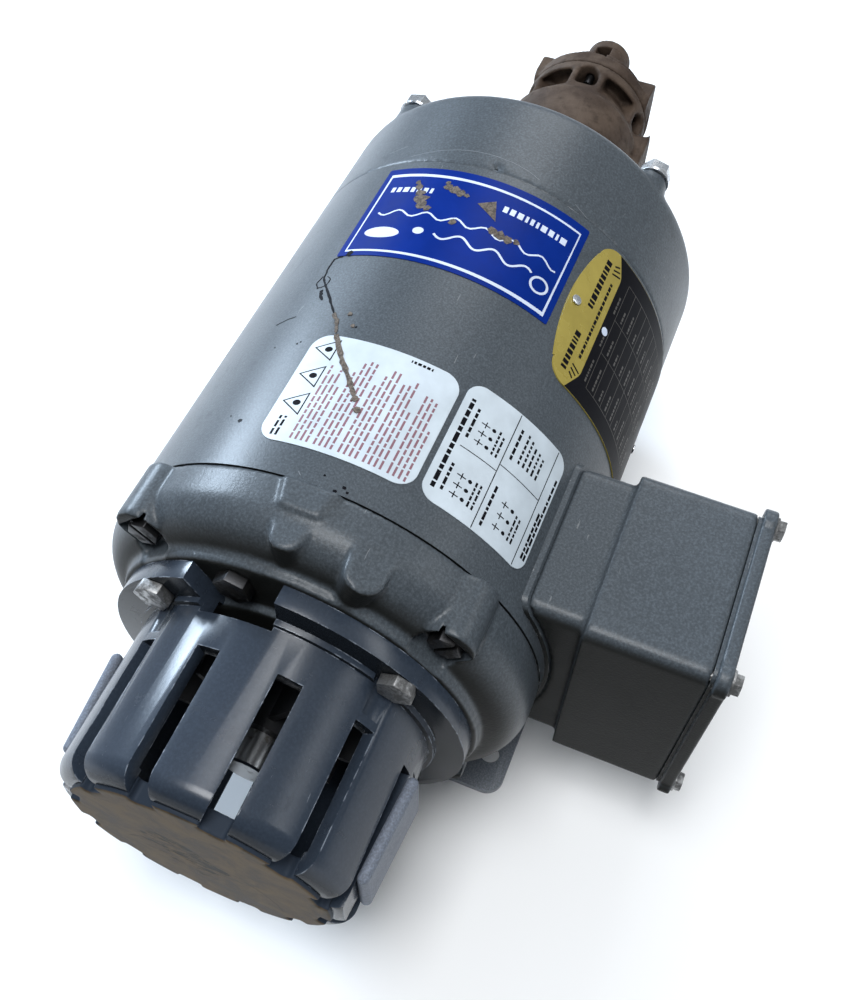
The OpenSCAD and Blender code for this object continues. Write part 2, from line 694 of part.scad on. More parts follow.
module pump_housing() color([0.36, 0.30, 0.26]) on_axis() difference() {
    union() {
        rod(bracket_x1, housing_x1, pump_r);
        rod(housing_x1 - 1, cover_x1, housing_r);
        for (side = [1, -1]) port_block(side);
        at_angle(relief_angle) translate([relief_r, 0, 0]) rod(cover_x1 - 2, relief_seam_x, relief_cap_r + 0.5);
    }
    // Figure-of-eight gear chamber
    rod(bracket_x1 - 1, chamber_x1, chamber_r);
    translate([gear_centres, 0, 0]) rod(bracket_x1 - 1, chamber_x1, chamber_r);
    // Shaft and idler pin bores
    rod(chamber_x1 - 1, cover_x1 - 3, 8);
    translate([gear_centres, 0, 0]) rod(chamber_x1 - 1, cover_x1 - 2, 3);
    for (side = [1, -1]) {
        port_bore(side, port_r, port_block_y - port_depth, port_block_y + 2);
        // Spot face that takes the rim of the head back to the port's mouth
        port_bore(side, port_r + 3, port_block_y, pump_r + 2);
        translate([9, 0, 303]) rotate([side * -90, 0, 0]) cylinder(h = 30, r = 3.2);
    }
    at_pump_bolts() rod(bracket_x1 - 1, relief_seam_x, 2.6);
    at_pump_bolts() rod(housing_x1, relief_seam_x + 1, 4.6);
    at_angle(relief_angle) translate([relief_r, 0, 0]) rod(312, relief_seam_x + 1, relief_bore_r);
}

module housing_bushing() color([0.72, 0.53, 0.25]) on_axis()
    ring(chamber_x1, cover_x1 - 3, 8, pump_shaft_r + slip);

module pump_bolts() color([0.34, 0.32, 0.30]) on_axis() at_pump_bolts() {
    rod(288, housing_x1, 2.5);
    difference() {
        rod(housing_x1, housing_x1 + 5, 4.2);
        hex_rod(housing_x1 + 2, housing_x1 + 6, 4);
    }
}

module at_relief() on_axis() at_angle(relief_angle) translate([relief_r, 0, 0]) children();

module relief_valve_cap() color([0.40, 0.36, 0.31]) at_relief() {
    difference() {
        rod(relief_seam_x, relief_seam_x + 7, relief_cap_r);
        rod(relief_seam_x - 1, relief_seam_x + 5, relief_bore_r);
    }
    translate([0, 0, relief_seam_x + 7]) intersection() {
        translate([0, 0, -6]) sphere(relief_cap_r);
        rod(0, 10, relief_cap_r + 0.5);
    }
}

module relief_plunger() color([0.72, 0.60, 0.28]) at_relief() rod(312, 316, relief_bore_r - slip);

module relief_spring() color([0.70, 0.71, 0.72]) at_relief() for (k = [0 : 6]) translate([0, 0, 317 + 2.1 * k])
    rotate_extrude() translate([3.7, 0]) circle(1, $fn = 24);

// ---- pump gears ----

pressure_angle = 20;
pitch_r = gear_centres / 2;
tip_r = pitch_r + 1.15;
root_r = pitch_r - 1.9;
base_r = pitch_r * cos(pressure_angle);
backlash = 1.5;

function involute(angle) = tan(angle) * 180 / PI - angle;

// Half of a tooth's thickness, as an angle, at radius r
function tooth_half(r) = 90 / gear_teeth - backlash + involute(pressure_angle)
    - involute(acos(base_r / max(r, base_r)));

flank_steps = 4;
function flank_r(i) = root_r + (tip_r - root_r) * i / flank_steps;

module gear_outline() polygon([
    for (k = [0 : gear_teeth - 1], side = [-1, 1], i = [0 : flank_steps])
        let (r = flank_r(side < 0 ? i : flank_steps - i), a = k * 360 / gear_teeth + side * tooth_half(r))
            [r * cos(a), r * sin(a)]
]);

module pump_gear(bore_r) translate([0, 0, bracket_x1 + slip]) difference() {
    linear_extrude(gear_w) gear_outline();
    translate([0, 0, -1]) cylinder(h = gear_w + 2, r = bore_r);
}

module pump_shaft() color([0.70, 0.71, 0.72]) on_axis() rod(shaft_rear_x, cover_x1 - 3.5, pump_shaft_r);

module drive_gear() color([0.60, 0.60, 0.62]) on_axis() pump_gear(pump_shaft_r);

module idler_gear() color([0.60, 0.60, 0.62]) on_axis() translate([gear_centres, 0, 0])
    rotate([0, 0, 180 / gear_teeth]) pump_gear(3 + slip);

module idler_pin() color([0.70, 0.71, 0.72]) on_axis() translate([gear_centres, 0, 0])
    rod(bracket_x1, cover_x1 - 2, 3);

module shaft_coupling() color([0.50, 0.51, 0.52]) on_axis() difference() {
    rod(190, 222, 17);
    rod(189, shaft_rear_x, rear_shaft_r);
    rod(shaft_rear_x - 1, 223, pump_shaft_r);
    for (x = [198, 214]) translate([-25, 0, x]) rotate([0, 90, 0]) cylinder(h = 25, r = 2.5);
}

module coupling_screws() color([0.25, 0.25, 0.26]) on_axis() {
    translate([-16, 0, 198]) rotate([0, 90, 0]) cylinder(h = 16 - rear_shaft_r, r = 2.5);
    translate([-16, 0, 214]) rotate([0, 90, 0]) cylinder(h = 16 - pump_shaft_r, r = 2.5);
}

strainer_cage();
cage_end_plate();
side_shield_left();
side_shield_right();
shield_screws();
cage_bolts();
face_plug_bolt();
front_bell();
motor_shell();
rear_bell();
through_bolts();
through_bolt_nuts();
stator_core();
stator_windings();
front_bearing_outer_race();
rear_bearing_outer_race();
wave_washer();
front_shaft_seal();
motor_base();
box_gasket();
conduit_box();
conduit_hub();
cover_gasket();
conduit_box_cover();
cover_screws();
terminal_block();
terminal_studs();
ground_screw();
blue_label();
warning_label();
wiring_label();
nameplate();
nameplate_rivets();
pump_bracket();
bracket_bolts();
bracket_bushing();
pump_shaft_seal();
pump_housing();
housing_bushing();
pump_bolts();
relief_valve_cap();
relief_spring();
relief_plunger();
idler_pin();
motor_shaft();
rotor_core();
rotor_end_rings();
front_bearing_inner_race();
rear_bearing_inner_race();
impeller();
impeller_key();
impeller_set_screw();
slinger();
shaft_coupling();
coupling_screws();
pump_shaft();
drive_gear();
bearing_balls();
ball_retainers();
idler_gear();
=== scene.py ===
"""Looks of the pump motor: painted castings, worn labels, fasteners and a plain studio.

X runs along the motor shaft from the cage to the pump, Z is up, and every length is in metres.
A place on the round shell is given as x and an angle: 0 is the top, and positive angles go towards +Y.
"""

import json
import math
import random

import bmesh
import bpy
from mathutils import Matrix, Vector


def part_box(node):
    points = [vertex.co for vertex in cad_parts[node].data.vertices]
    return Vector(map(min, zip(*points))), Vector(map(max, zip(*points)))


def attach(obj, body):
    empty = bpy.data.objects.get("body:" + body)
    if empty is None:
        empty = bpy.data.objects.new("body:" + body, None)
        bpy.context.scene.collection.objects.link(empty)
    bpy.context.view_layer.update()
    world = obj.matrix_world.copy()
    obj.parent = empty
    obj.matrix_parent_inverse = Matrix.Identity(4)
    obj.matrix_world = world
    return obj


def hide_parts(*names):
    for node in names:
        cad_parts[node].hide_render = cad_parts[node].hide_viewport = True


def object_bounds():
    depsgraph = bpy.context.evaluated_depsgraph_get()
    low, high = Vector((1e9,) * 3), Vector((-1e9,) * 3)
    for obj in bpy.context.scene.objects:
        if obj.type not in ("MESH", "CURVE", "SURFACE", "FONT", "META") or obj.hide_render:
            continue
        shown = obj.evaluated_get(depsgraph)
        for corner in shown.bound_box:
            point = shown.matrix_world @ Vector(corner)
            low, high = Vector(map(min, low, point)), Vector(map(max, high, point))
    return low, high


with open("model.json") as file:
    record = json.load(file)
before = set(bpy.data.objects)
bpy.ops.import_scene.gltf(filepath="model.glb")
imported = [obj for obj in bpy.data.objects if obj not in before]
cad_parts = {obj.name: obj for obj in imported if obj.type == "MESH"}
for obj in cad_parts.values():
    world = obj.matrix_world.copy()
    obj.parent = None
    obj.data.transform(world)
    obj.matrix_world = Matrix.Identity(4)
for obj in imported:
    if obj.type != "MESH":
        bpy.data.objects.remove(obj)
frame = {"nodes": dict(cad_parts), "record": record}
CAD_LOW, CAD_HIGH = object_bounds()
NODES = frame["nodes"]
MM = 0.001

SHELL_LOW, SHELL_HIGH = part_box("motor_shell")
AXIS_Z = (SHELL_LOW.z + SHELL_HIGH.z) / 2
SHELL_R = (SHELL_HIGH.z - SHELL_LOW.z) / 2


# ---- materials ----


class Paintbox:
    """Builds one node material. Every method returns an output socket that another one can take."""

    def __init__(self, name, **values):
        self.material = bpy.data.materials.new(name)
        self.material.use_nodes = True
        self.tree = self.material.node_tree
        self.shader = self.tree.nodes["Principled BSDF"]
        self.place = self.node("ShaderNodeTexCoord").outputs["Object"]
        for socket, value in values.items():
            self.shader.inputs[socket.replace("_", " ")].default_value = value

    def node(self, kind, **settings):
        made = self.tree.nodes.new(kind)
        for name, value in settings.items():
            setattr(made, name, value)
        return made

    def feed(self, socket, value):
        if isinstance(value, bpy.types.NodeSocket):
            self.tree.links.new(value, socket)
        elif value is not None:
            socket.default_value = value

    def maths(self, operation, a, b=None, c=None):
        made = self.node("ShaderNodeMath", operation=operation)
        for socket, value in zip(made.inputs, (a, b, c)):
            self.feed(socket, value)
        return made.outputs[0]

    def times(self, a, b):
        return self.maths("MULTIPLY", a, b)

    def inverted(self, value):
        """1 where the value is 0, and 0 where it is 1."""
        return self.maths("SUBTRACT", 1.0, value)

    def vector(self, operation, a, b):
        made = self.node("ShaderNodeVectorMath", operation=operation)
        self.feed(made.inputs[0], a)
        self.feed(made.inputs[1], b)
        return made.outputs["Value" if operation == "DISTANCE" else "Vector"]

    def along(self, a, b):
        """How much of direction a lies along direction b."""
        made = self.node("ShaderNodeVectorMath", operation="DOT_PRODUCT")
        self.feed(made.inputs[0], a)
        self.feed(made.inputs[1], b)
        return made.outputs["Value"]

    def surface_normal(self):
        return self.node("ShaderNodeNewGeometry").outputs["Normal"]

    def stretched(self, x, y, z):
        """Object coordinates stretched along each axis."""
        return self.vector("MULTIPLY", self.place, (x, y, z))

    def noise(self, size, detail=4.0, roughness=0.55, distortion=0.0, place=None):
        """Noise whose lumps are about size across."""
        made = self.node("ShaderNodeTexNoise")
        self.feed(made.inputs["Vector"], self.place if place is None else place)
        made.inputs["Scale"].default_value = 1 / size
        made.inputs["Detail"].default_value = detail
        made.inputs["Roughness"].default_value = roughness
        made.inputs["Distortion"].default_value = distortion
        return made.outputs["Fac"]

    def near(self, point, reach, ragged=0.0, size=10 * MM):
        """1 at a point of the object and 0 beyond its reach, with a ragged border."""
        away = self.vector("DISTANCE", self.place, point)
        away = self.maths("ADD", away, self.between(self.noise(size, detail=5), -ragged, ragged))
        return self.inverted(self.step(away, 0.75 * reach, reach))

    def facing(self, direction, low, high):
        """1 on faces turned towards a direction of the object."""
        return self.step(self.along(self.surface_normal(), direction), low, high)

    def step(self, value, low, high):
        """0 below low, 1 above high, and smooth between them."""
        made = self.node("ShaderNodeMapRange", interpolation_type="SMOOTHSTEP")
        self.feed(made.inputs["Value"], value)
        made.inputs["From Min"].default_value = low
        made.inputs["From Max"].default_value = high
        return made.outputs["Result"]

    def between(self, value, low, high):
        """A value from 0 to 1 turned into a range."""
        return self.maths("MULTIPLY_ADD", value, high - low, low)

    def blend(self, share, a, b):
        """Colour a where share is 0 and colour b where it is 1."""
        made = self.node("ShaderNodeMix", data_type="RGBA")
        self.feed(made.inputs["Factor"], share)
        colours = [s for s in made.inputs if s.type == "RGBA"]
        self.feed(colours[0], a if isinstance(a, bpy.types.NodeSocket) else (*a, 1.0))
        self.feed(colours[1], b if isinstance(b, bpy.types.NodeSocket) else (*b, 1.0))
        return [s for s in made.outputs if s.type == "RGBA"][0]

    def edges(self, radius, low=0.01, high=0.12):
        """1 on edges and corners of the shape, 0 on open faces."""
        rounded = self.node("ShaderNodeBevel", samples=6)
        rounded.inputs["Radius"].default_value = radius
        turned = self.along(rounded.outputs["Normal"], self.surface_normal())
        return self.step(self.inverted(turned), low, high)

    def hollow_shade(self, reach):
        """1 deep in corners and recesses, 0 in the open; the mask from which shade is painted."""
        made = self.node("ShaderNodeAmbientOcclusion", samples=8)
        made.inputs["Distance"].default_value = reach
        return self.step(self.inverted(made.outputs["AO"]), 0.25, 0.85)

    def bump(self, *layers):
        """Each layer is (height from 0 to 1, depth in metres)."""
        normal = None
        for height, depth in layers:
            made = self.node("ShaderNodeBump")
            made.inputs["Strength"].default_value = 1.0
            made.inputs["Distance"].default_value = depth
            self.feed(made.inputs["Height"], height)
            self.feed(made.inputs["Normal"], normal)
            normal = made.outputs["Normal"]
        self.feed(self.shader.inputs["Normal"], normal)

    def colour(self, value):
        self.feed(self.shader.inputs["Base Color"], value)

    def rough(self, value):
        self.feed(self.shader.inputs["Roughness"], value)

    def metal(self, value):
        self.feed(self.shader.inputs["Metallic"], value)


# Direction and tint of the painted shade on the faces that look towards the wet end and down.
SHADED_FACING = (-0.93, 0.0, -0.37)
SIDE_SHADE_TINT = (0.20, 0.17, 0.13)


def scaled(colour, share):
    return tuple(c * share for c in colour)


def enamel(
    name, colour, roughness, grain_depth, wear_colour,
    wear=0.5, grain_size=0.9 * MM, grain_share=0.45, corner_shade=0.3, gloss=0.28, film_and_shade=0.0,
):
    """Sprayed enamel with orange peel, rubbed edges and painted shade in the corners.

    The last argument is the share of painted shade, a dark brown tint with less gloss, on the faces that look
    towards the wet end and down.
    """
    p = Paintbox(name, Specular_IOR_Level=gloss)
    cloud = p.noise(60 * MM, detail=3)
    peel = p.noise(grain_size, detail=2, roughness=0.6)
    tint = p.blend(cloud, scaled(colour, 0.88), scaled(colour, 1.12))
    tint = p.blend(p.times(p.step(peel, 0.50, 0.66), grain_share), tint, scaled(colour, 1.7))
    tint = p.blend(p.times(p.step(peel, 0.50, 0.34), grain_share), tint, scaled(colour, 0.55))
    dirt = p.step(p.noise(13 * MM, detail=6, roughness=0.7), 0.56, 0.74)
    tint = p.blend(p.times(dirt, 0.35), tint, scaled(colour, 0.55))
    rub = p.noise(9 * MM, detail=5, roughness=0.7)
    worn = p.times(p.edges(0.9 * MM), p.step(rub, 0.62 - 0.25 * wear, 0.72 - 0.15 * wear))
    hair = p.noise(1.4 * MM, detail=2, roughness=0.4, distortion=0.6, place=p.stretched(0.16, 1.0, 1.0))
    scratch = p.times(p.step(hair, 0.735, 0.765), p.step(p.noise(40 * MM, detail=1), 0.52, 0.62))
    tint = p.blend(p.times(scratch, 0.35), tint, wear_colour)
    # Painted shade: faces turned towards the wet end and down are darkened to a dark brown tint and lose most
    # of their gloss.
    if film_and_shade:
        shaded_side = p.times(p.facing(SHADED_FACING, 0.25, 0.85), film_and_shade)
        tint = p.blend(shaded_side, tint, tuple(share * c for share, c in zip(SIDE_SHADE_TINT, colour)))
        p.feed(p.shader.inputs["Specular IOR Level"], p.between(shaded_side, gloss, 0.1 * gloss))
    # Painted shade in corners and recesses, from an ambient occlusion mask.
    tint = p.blend(p.times(p.hollow_shade(5 * MM), corner_shade), tint, scaled(colour, 0.28))
    tint = p.blend(worn, tint, wear_colour)
    p.colour(tint)
    smear = p.noise(25 * MM, detail=4, roughness=0.6)
    smeared = p.between(smear, roughness - 0.04, roughness + 0.06)
    p.rough(p.maths("ADD", smeared, p.times(dirt, 0.06)))
    p.bump((cloud, 0.12 * MM), (peel, grain_depth), (p.inverted(worn), 0.05 * MM))
    return p.material


def bare_metal(
    name, colour, roughness, dull=None, dull_share=0.3, brushed=(1.0, 1.0, 1.0), pit_depth=0.02 * MM,
):
    """Bare or plated metal with patches of dull oxide, fine brushing and small pits."""
    p = Paintbox(name, Metallic=1.0)
    dull = dull or scaled(colour, 0.45)
    patches = p.noise(7 * MM, detail=5, roughness=0.65)
    fine = p.noise(0.5 * MM, detail=3, place=p.stretched(*brushed))
    oxide = p.step(patches, 0.66 - 0.4 * dull_share, 0.78 - 0.3 * dull_share)
    tint = p.blend(p.between(fine, 0.0, 1.0), scaled(colour, 0.88), scaled(colour, 1.08))
    tint = p.blend(p.times(oxide, 0.75), tint, dull)
    # Painted shade in the hollows, in a darkened oxide colour.
    tint = p.blend(p.times(p.hollow_shade(3 * MM), 0.6), tint, scaled(dull, 0.4))
    p.colour(tint)
    p.rough(p.between(oxide, roughness, min(1.0, roughness + 0.3)))
    p.bump((fine, pit_depth), (patches, 2 * pit_depth))
    return p.material


def casting(name, colour, stain, dark):
    """Oxidised brown casting: sand texture, painted shade in the hollows, rubbed lighter edges."""
    p = Paintbox(name, Metallic=0.0, Specular_IOR_Level=0.2)
    sand = p.noise(0.9 * MM, detail=4, roughness=0.65)
    lumps = p.noise(5 * MM, detail=4)
    wide = p.noise(22 * MM, detail=5, roughness=0.6)
    tint = p.blend(p.step(wide, 0.35, 0.68), colour, stain)
    tint = p.blend(p.times(p.step(lumps, 0.5, 0.75), 0.5), tint, dark)
    tint = p.blend(p.times(p.step(sand, 0.58, 0.75), 0.35), tint, scaled(stain, 1.7))
    # Painted shade in the hollows, darker than the darkest casting colour.
    tint = p.blend(p.times(p.hollow_shade(8 * MM), 0.75), tint, scaled(dark, 0.45))
    tint = p.blend(p.times(p.edges(1.2 * MM), 0.45), tint, scaled(stain, 1.9))
    p.colour(tint)
    p.rough(p.between(lumps, 0.48, 0.82))
    p.bump((wide, 0.6 * MM), (lumps, 0.35 * MM), (sand, 0.16 * MM))
    return p.material


def weathered_plate(name, colour):
    """Brown staining over paint, with a dark scraped patch in the middle, a curved scratch, pale stains and
    painted shade in the corners.
    """
    p = Paintbox(name, Specular_IOR_Level=0.08)
    film_and_shade = p.noise(17 * MM, detail=6, roughness=0.68, distortion=0.4)
    grain = p.noise(1.2 * MM, detail=3)
    stain = p.step(film_and_shade, 0.36, 0.64)
    tint = p.blend(stain, scaled(colour, 0.5), scaled(colour, 1.5))
    tint = p.blend(p.times(p.step(grain, 0.5, 0.8), 0.3), tint, scaled(colour, 1.9))
    low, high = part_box("cage_end_plate")
    middle = (low + high) / 2
    scrape = p.near((low.x, middle.y + 9 * MM, middle.z - 3 * MM), 22 * MM, ragged=16 * MM, size=12 * MM)
    torn = p.step(p.noise(8 * MM, detail=5, roughness=0.7, place=p.stretched(1.0, 0.7, 1.6)), 0.46, 0.58)
    torn = p.times(scrape, torn)
    tint = p.blend(p.times(torn, 0.92), tint, scaled(colour, 0.10))
    scratch_middle = (low.x, middle.y + 4 * MM, middle.z - 34 * MM)
    ring = p.maths("ABSOLUTE", p.maths("SUBTRACT", p.vector("DISTANCE", p.place, scratch_middle), 38 * MM))
    curved = p.inverted(p.step(ring, 0.3 * MM, 0.9 * MM))
    curved = p.times(curved, p.step(p.noise(18 * MM, detail=2), 0.44, 0.5))
    tint = p.blend(p.times(curved, 0.7), tint, scaled(colour, 0.25))
    tint = p.blend(p.times(p.edges(1.0 * MM), 0.4), tint, scaled(colour, 1.7))
    tint = p.blend(p.facing((-1.0, 0.0, 0.0), 0.55, 0.85), CAGE_GREY, tint)
    # Painted shade in the corners and recesses, nearly black.
    tint = p.blend(p.times(p.hollow_shade(5 * MM), 0.8), tint, scaled(colour, 0.1))
    p.colour(tint)
    p.rough(p.between(film_and_shade, 0.40, 0.68))
    p.bump((film_and_shade, 0.25 * MM), (grain, 0.05 * MM), (p.inverted(torn), 0.15 * MM))
    return p.material


def torn_patch(name, colour):
    """Torn paper, old glue and dirt where something scraped the shell."""
    p = Paintbox(name, Specular_IOR_Level=0.3)
    fibre = p.noise(1.6 * MM, detail=5, roughness=0.75, distortion=1.0)
    tint = p.blend(p.step(fibre, 0.36, 0.62), scaled(colour, 0.35), scaled(colour, 1.35))
    p.colour(tint)
    p.rough(p.between(fibre, 0.6, 0.95))
    p.bump((fibre, 0.25 * MM))
    return p.material


def plain_rubber(name, colour=(0.018, 0.018, 0.019)):
    p = Paintbox(name, Specular_IOR_Level=0.35)
    dust = p.noise(6 * MM, detail=5, roughness=0.7)
    p.colour(p.blend(p.times(p.step(dust, 0.5, 0.8), 0.4), colour, scaled(colour, 4.0)))
    p.rough(p.between(dust, 0.6, 0.9))
    p.bump((p.noise(0.6 * MM), 0.03 * MM))
    return p.material


def plastic(name, colour, roughness=0.42, gloss=0.5):
    p = Paintbox(name, Specular_IOR_Level=gloss)
    swirl = p.noise(14 * MM, detail=4)
    p.colour(p.blend(swirl, scaled(colour, 0.8), scaled(colour, 1.35)))
    p.rough(p.between(swirl, roughness - 0.06, roughness + 0.12))
    p.bump((p.noise(0.35 * MM, detail=2), 0.012 * MM))
    return p.material


def windings(name):
    """Rows of varnished wire seen along the end turns."""
    p = Paintbox(name, Metallic=0.85)
    wire = p.node("ShaderNodeTexWave", wave_type="RINGS", rings_direction="X")
    p.feed(wire.inputs["Vector"], p.vector("SUBTRACT", p.place, (0.0, 0.0, AXIS_Z)))
    wire.inputs["Scale"].default_value = 160.0
    wire.inputs["Distortion"].default_value = 1.2
    varnish = p.noise(9 * MM, detail=4)
    tint = p.blend(wire.outputs["Fac"], (0.10, 0.03, 0.01), (0.56, 0.22, 0.07))
    p.colour(p.blend(p.times(p.step(varnish, 0.5, 0.7), 0.4), tint, (0.30, 0.13, 0.03)))
    p.rough(p.between(varnish, 0.25, 0.5))
    p.bump((wire.outputs["Fac"], 0.3 * MM))
    return p.material


def stacked_sheets(name):
    """The thin steel sheets of a motor core, edge on."""
    p = Paintbox(name, Metallic=1.0)
    sheets = p.node("ShaderNodeTexWave", wave_type="BANDS", bands_direction="X")
    p.feed(sheets.inputs["Vector"], p.place)
    sheets.inputs["Scale"].default_value = 320.0
    rust = p.noise(8 * MM, detail=5)
    tint = p.blend(sheets.outputs["Fac"], (0.10, 0.10, 0.11), (0.34, 0.35, 0.37))
    p.colour(p.blend(p.times(p.step(rust, 0.55, 0.75), 0.5), tint, (0.16, 0.08, 0.04)))
    p.rough(p.between(rust, 0.35, 0.6))
    p.bump((sheets.outputs["Fac"], 0.08 * MM))
    return p.material


MOTOR_GREY = (0.058, 0.069, 0.080)
CAGE_GREY = (0.028, 0.038, 0.055)
RUBBED_STEEL = (0.30, 0.31, 0.32)
CHIPPED = (0.30, 0.34, 0.40)

MATERIALS = {
    # The motor and cage paints below carry painted shade on their faces towards the wet end and down.
    "motor_enamel": enamel("motor_enamel", MOTOR_GREY, 0.34, 0.06 * MM, RUBBED_STEEL, wear=0.2, film_and_shade=0.95),
    "motor_enamel_cast": enamel(
        "motor_enamel_cast", MOTOR_GREY, 0.35, 0.09 * MM, RUBBED_STEEL, wear=0.3, grain_size=1.1 * MM,
        film_and_shade=0.95,
    ),
    "cage_enamel": enamel(
        "cage_enamel", CAGE_GREY, 0.24, 0.02 * MM, CHIPPED, wear=0.6, grain_size=1.2 * MM, grain_share=0.18,
        gloss=0.4, film_and_shade=0.8,
    ),
    "pale_enamel": enamel(
        "pale_enamel", (0.15, 0.17, 0.21), 0.46, 0.02 * MM, (0.45, 0.47, 0.5), wear=0.5, gloss=0.16,
    ),
    "stained_plate": weathered_plate("stained_plate", (0.076, 0.051, 0.025)),
    "zinc": bare_metal("zinc", (0.72, 0.74, 0.77), 0.24, dull=(0.30, 0.30, 0.29), dull_share=0.45),
    "worn_steel": bare_metal(
        "worn_steel", (0.42, 0.42, 0.42), 0.42, dull=(0.07, 0.07, 0.07), dull_share=0.65,
    ),
    "dark_steel": bare_metal(
        "dark_steel", (0.055, 0.055, 0.058), 0.42, dull=(0.02, 0.019, 0.017), dull_share=0.5,
    ),
    "shaft_steel": bare_metal(
        "shaft_steel", (0.30, 0.31, 0.32), 0.30, dull=(0.12, 0.10, 0.08), dull_share=0.35,
        brushed=(6.0, 1.0, 1.0), pit_depth=0.005 * MM,
    ),
    "bearing_steel": bare_metal("bearing_steel", (0.66, 0.67, 0.69), 0.16, dull_share=0.1),
    "cast_aluminium": bare_metal(
        "cast_aluminium", (0.30, 0.31, 0.32), 0.45, dull_share=0.4, pit_depth=0.06 * MM,
    ),
    "brass_stud": bare_metal("brass_stud", (0.62, 0.44, 0.16), 0.30, dull=(0.24, 0.15, 0.06), dull_share=0.4),
    "green_screw": bare_metal(
        "green_screw", (0.04, 0.26, 0.09), 0.32, dull=(0.02, 0.10, 0.04), dull_share=0.3,
    ),
    "lamination_steel": stacked_sheets("lamination_steel"),
    "copper_winding": windings("copper_winding"),
    "black_rubber": plain_rubber("black_rubber"),
    "black_plastic": plastic("black_plastic", (0.016, 0.017, 0.020), gloss=0.3),
    "bronze_casting": casting(
        "bronze_casting", (0.036, 0.022, 0.015), (0.084, 0.059, 0.043), (0.014, 0.008, 0.005),
    ),
    "blue_decal": plastic("blue_decal", (0.001, 0.017, 0.165), 0.32, gloss=0.05),
    "white_decal": plastic("white_decal", (0.46, 0.52, 0.57), 0.36),
    "gold_plate": plastic("gold_plate", (0.29, 0.23, 0.045), 0.24),
}

# The foot paint is lighter than the motor paint; part of that lightness is a painted highlight for the light
# that falls on the foot.
FOOT_ENAMEL = enamel("foot_enamel", (0.21, 0.23, 0.26), 0.30, 0.02 * MM, RUBBED_STEEL, wear=0.3)
WHITE_INK = plastic("white_ink", (0.50, 0.56, 0.68), 0.34)
BLACK_INK = plastic("black_ink", (0.006, 0.006, 0.008), 0.36, gloss=0.03)
RED_INK = plastic("red_ink", (0.19, 0.085, 0.11), 0.45)
FAINT_INK = plastic("faint_ink", (0.055, 0.05, 0.045), 0.40)
TORN_PAPER = torn_patch("torn_paper", (0.115, 0.095, 0.078))
PALE_SCRATCH = plastic("pale_scratch", (0.15, 0.165, 0.18), 0.5)

SLOT_OF = {part["node"]: part["material_slot"] for part in frame["record"]["subparts"]}


def linked(name, data):
    """A new object of the scene."""
    made = bpy.data.objects.new(name, data)
    bpy.context.scene.collection.objects.link(made)
    return made


def dress(piece, material):
    piece.data.materials.clear()
    piece.data.materials.append(material)


for node_name, node_object in NODES.items():
    node_object.material_slots[0].material = MATERIALS[SLOT_OF[node_name]]
NODES["motor_base"].material_slots[0].material = FOOT_ENAMEL
NODES["cover_gasket"].material_slots[0].material = MATERIALS["motor_enamel_cast"]


# ---- softened castings ----


def body_of_node(node):
    for body, members in frame["record"]["behaviour"]["bodies"].items():
        if node in members:
            return body
    return None


def baked(piece, name):
    """The piece with its modifiers applied, as a new object."""
    mesh = bpy.data.meshes.new_from_object(piece.evaluated_get(bpy.context.evaluated_depsgraph_get()))
    mesh.name = name
    made = linked(name, mesh)
    old = piece.data
    bpy.data.objects.remove(piece)
    bpy.data.meshes.remove(old)
    return made


WELD_DISTANCE = 1e-6
FLAT_ANGLE = math.radians(1.0)
BEVEL_ANGLE = math.radians(35)
SHARP_ANGLE = math.radians(32)


def welded_copy(node):
    """A copy of a CAD node with its faces joined up and no stored normals."""
    mesh = NODES[node].data.copy()
    work = bmesh.new()
    work.from_mesh(mesh)
    bmesh.ops.remove_doubles(work, verts=work.verts, dist=WELD_DISTANCE)
    work.to_mesh(mesh)
    work.free()
    if "custom_normal" in mesh.attributes:
        mesh.attributes.remove(mesh.attributes["custom_normal"])
    return linked("work", mesh)


def stand_for(piece, node, material=None):
    dress(piece, MATERIALS[SLOT_OF[node]] if material is None else material)
    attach(piece, body_of_node(node))
    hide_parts(node)
    return piece


def softened(node, name, voxel, passes):
    """A casting with the soft edges that sand and thick paint give, dense enough to carry its texture."""
    piece = welded_copy(node)
    remesh = piece.modifiers.new("remesh", "REMESH")
    remesh.mode = "VOXEL"
    remesh.voxel_size = voxel
    remesh.use_smooth_shade = True
    smooth = piece.modifiers.new("smooth", "SMOOTH")
    smooth.factor = 0.5
    smooth.iterations = passes
    piece = baked(piece, name)
    piece.data.shade_smooth()
    return stand_for(piece, node)


SOFT_CASTINGS = (
    # CAD node, piece, voxel, smoothing passes
    ("front_bell", "front_bell_casting", 1.2 * MM, 3),
    ("rear_bell", "rear_bell_casting", 1.5 * MM, 5),
    ("cage_end_plate", "cage_end_casting", 0.9 * MM, 3),
    ("conduit_box", "conduit_box_casting", 1.2 * MM, 4),
    ("conduit_box_cover", "box_cover_casting", 1.0 * MM, 3),
    ("pump_bracket", "pump_bracket_casting", 1.1 * MM, 4),
    ("pump_housing", "pump_housing_casting", 0.9 * MM, 5),
    ("relief_valve_cap", "relief_cap_casting", 0.7 * MM, 4),
)

for cad_node, piece_name, voxel_size, smooth_passes in SOFT_CASTINGS:
    softened(cad_node, piece_name, voxel_size, smooth_passes)


# ---- machined pieces with broken edges ----


def broken_edges(node, name, width, material=None):
    """A machined or pressed piece whose sharp edges are rounded over by width."""
    piece = welded_copy(node)
    work = bmesh.new()
    work.from_mesh(piece.data)
    bmesh.ops.dissolve_limit(
        work, angle_limit=FLAT_ANGLE, use_dissolve_boundaries=False, verts=work.verts, edges=work.edges
    )
    work.to_mesh(piece.data)
    work.free()
    bevel = piece.modifiers.new("bevel", "BEVEL")
    bevel.width = width
    bevel.segments = 3
    bevel.limit_method = "ANGLE"
    bevel.angle_limit = BEVEL_ANGLE
    piece = baked(piece, name)
    piece.data.shade_smooth()
    piece.data.set_sharp_from_angle(angle=SHARP_ANGLE)
    return stand_for(piece, node, material)


